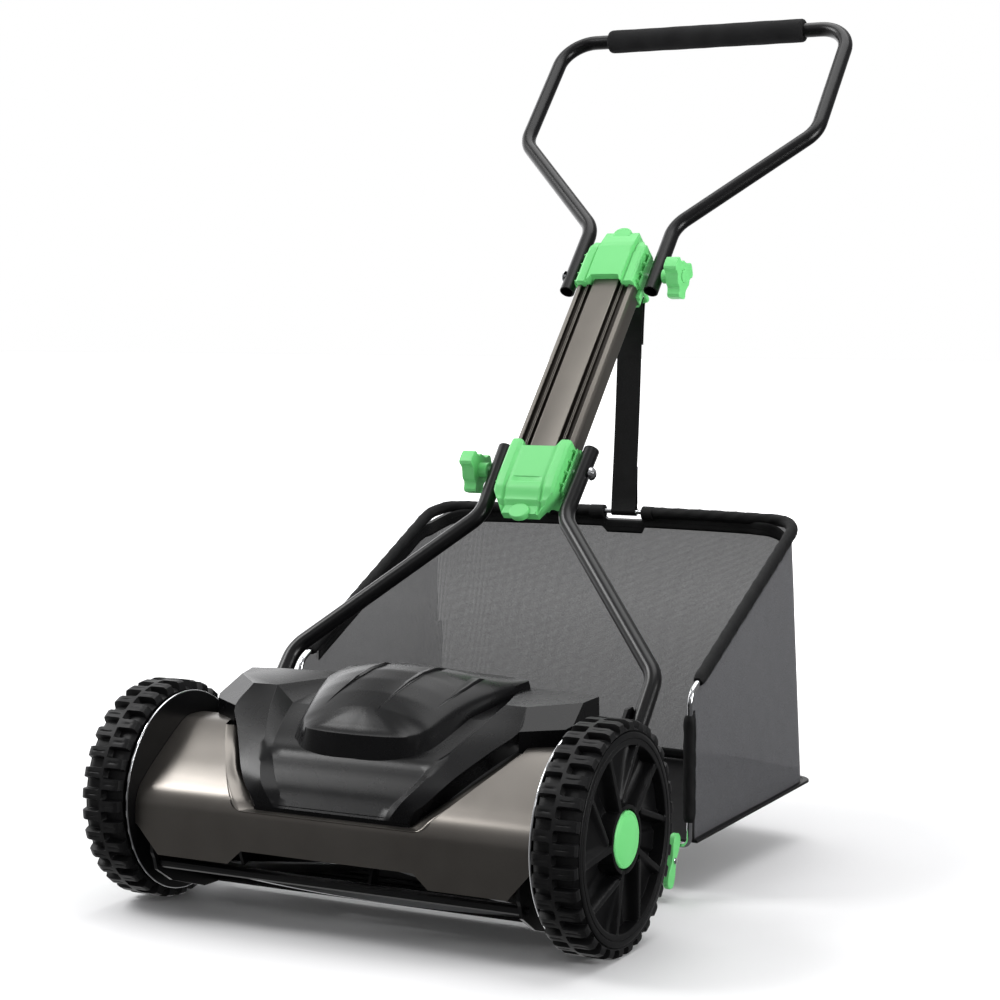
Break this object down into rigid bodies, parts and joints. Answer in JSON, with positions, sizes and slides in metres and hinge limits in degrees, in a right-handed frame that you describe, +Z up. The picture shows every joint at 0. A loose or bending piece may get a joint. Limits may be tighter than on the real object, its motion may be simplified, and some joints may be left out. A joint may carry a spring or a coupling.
{
  "type": "reel mower",
  "caption": "Push reel mower with geared side wheels, helical cutting reel under a hood, folding T-column loop handle and rear mesh grass catcher.",
  "frame": {"origin": "centre of the bounding box on the ground plane", "axes": "+Z up; the mower rolls forward along -Y; +X is to the left of a person pushing it"},
  "size_m": [0.614, 1.0616, 1.0807],
  "materials": {
    "green_plastic": "moulded apple-green plastic, satin",
    "black_plastic": "moulded black plastic, satin",
    "black_paint": "satin black powder coat",
    "bronze_metal": "metallic bronze-grey satin",
    "column_alloy": "brushed warm grey anodised",
    "tyre_rubber": "moulded dark grey tread",
    "foam": "closed-cell foam",
    "steel": "ground steel",
    "chrome": "bright plated",
    "mesh_cloth": "open woven polyester mesh",
    "black_webbing": "woven webbing"
  },
  "bodies": {
    "chassis": {"side_plate_left": "black_paint", "lower_tube_left": "black_paint", "wheel_guard_left": "bronze_metal", "stub_axle_left": "steel", "axle_nut_left": "steel", "reel_bearing_left": "black_plastic", "tube_bolt_left": "chrome", "side_plate_right": "black_paint", "lower_tube_right": "black_paint", "wheel_guard_right": "bronze_metal", "stub_axle_right": "steel", "axle_nut_right": "steel", "reel_bearing_right": "black_plastic", "tube_bolt_right": "chrome", "hood": "bronze_metal", "top_cover": "black_plastic", "front_tie_rod": "black_paint", "cutter_bar": "black_paint", "bed_knife": "steel", "lower_clamp_bolt": "chrome"},
    "left_wheel": {"tyre_left": "tyre_rubber", "rim_left": "black_plastic", "hub_cap_left": "green_plastic"},
    "right_wheel": {"tyre_right": "tyre_rubber", "rim_right": "black_plastic", "hub_cap_right": "green_plastic"},
    "reel": {"reel_shaft": "steel", "reel_blade_1": "steel", "reel_blade_2": "steel", "reel_blade_3": "steel", "reel_blade_4": "steel", "reel_blade_5": "steel", "reel_spider_1": "black_paint", "reel_spider_2": "black_paint", "reel_spider_3": "black_paint"},
    "left_pinion": {"pinion_left": "steel"},
    "right_pinion": {"pinion_right": "steel"},
    "roller_frame": {"roller_bracket_left": "black_paint", "height_lever_left": "green_plastic", "roller_bracket_right": "black_paint", "height_lever_right": "green_plastic", "roller_shaft": "steel"},
    "roller": {"rear_roller": "black_plastic"},
    "column": {"column": "column_alloy", "lower_clamp_front": "green_plastic", "lower_clamp_back": "green_plastic", "upper_clamp_front": "green_plastic", "upper_clamp_back": "green_plastic", "upper_clamp_bolt": "chrome"},
    "handle": {"handle_loop": "black_paint", "foam_grip": "foam"},
    "lower_knob": {"lower_knob": "green_plastic"},
    "upper_knob": {"upper_knob": "green_plastic"},
    "catcher": {"catcher_frame": "chrome", "catcher_bag": "mesh_cloth", "catcher_tray": "black_plastic"},
    "strap": {"catcher_strap": "black_webbing"}
  },
  "joints": [
    {"name": "left_wheel_spin", "type": "hinge", "parent": "chassis", "child": "left_wheel", "pos_m": [0, -0.40583, 0.125], "axis": [1, 0, 0], "continuous": true},
    {"name": "right_wheel_spin", "type": "hinge", "parent": "chassis", "child": "right_wheel", "pos_m": [0, -0.40583, 0.125], "axis": [1, 0, 0], "continuous": true},
    {"name": "reel_spin", "type": "hinge", "parent": "chassis", "child": "reel", "pos_m": [0, -0.395, 0.08597], "axis": [1, 0, 0], "continuous": true},
    {"name": "left_pinion_spin", "type": "hinge", "parent": "chassis", "child": "left_pinion", "pos_m": [0, -0.395, 0.08597], "axis": [1, 0, 0], "continuous": true},
    {"name": "right_pinion_spin", "type": "hinge", "parent": "chassis", "child": "right_pinion", "pos_m": [0, -0.395, 0.08597], "axis": [1, 0, 0], "continuous": true},
    {"name": "roller_height", "type": "hinge", "parent": "chassis", "child": "roller_frame", "pos_m": [0, -0.22783, 0.062], "axis": [1, 0, 0], "range_deg": [0, 20]},
    {"name": "roller_spin", "type": "hinge", "parent": "roller_frame", "child": "roller", "pos_m": [0, -0.17383, 0.021], "axis": [1, 0, 0], "continuous": true},
    {"name": "column_fold", "type": "hinge", "parent": "chassis", "child": "column", "pos_m": [0, -0.00388, 0.47493], "axis": [1, 0, 0], "range_deg": [0, 100]},
    {"name": "handle_fold", "type": "hinge", "parent": "column", "child": "handle", "pos_m": [0, 0.21141, 0.71973], "axis": [1, 0, 0], "range_deg": [-120, 0]},
    {"name": "lower_knob_turn", "type": "hinge", "parent": "chassis", "child": "lower_knob", "pos_m": [0, -0.00388, 0.47493], "axis": [1, 0, 0], "continuous": true},
    {"name": "upper_knob_turn", "type": "hinge", "parent": "handle", "child": "upper_knob", "pos_m": [0, 0.21141, 0.71973], "axis": [1, 0, 0], "continuous": true},
    {"name": "catcher_lift", "type": "hinge", "parent": "chassis", "child": "catcher", "pos_m": [0, -0.14383, 0.06], "axis": [1, 0, 0], "range_deg": [0, 12], "deforming": ["catcher_strap"]},
    {"name": "strap_swing", "type": "hinge", "parent": "column", "child": "strap", "pos_m": [0, 0.25937, 0.6882], "axis": [1, 0, 0], "range_deg": [-21.5, 0]}
  ],
  "couplings": [
    {"joint": "reel_spin", "follows": "right_wheel_spin", "ratio": 4},
    {"joint": "right_pinion_spin", "follows": "right_wheel_spin", "ratio": 4},
    {"joint": "left_pinion_spin", "follows": "left_wheel_spin", "ratio": 4},
    {"joint": "strap_swing", "follows": "catcher_lift", "ratio": -1.78}
  ]
}
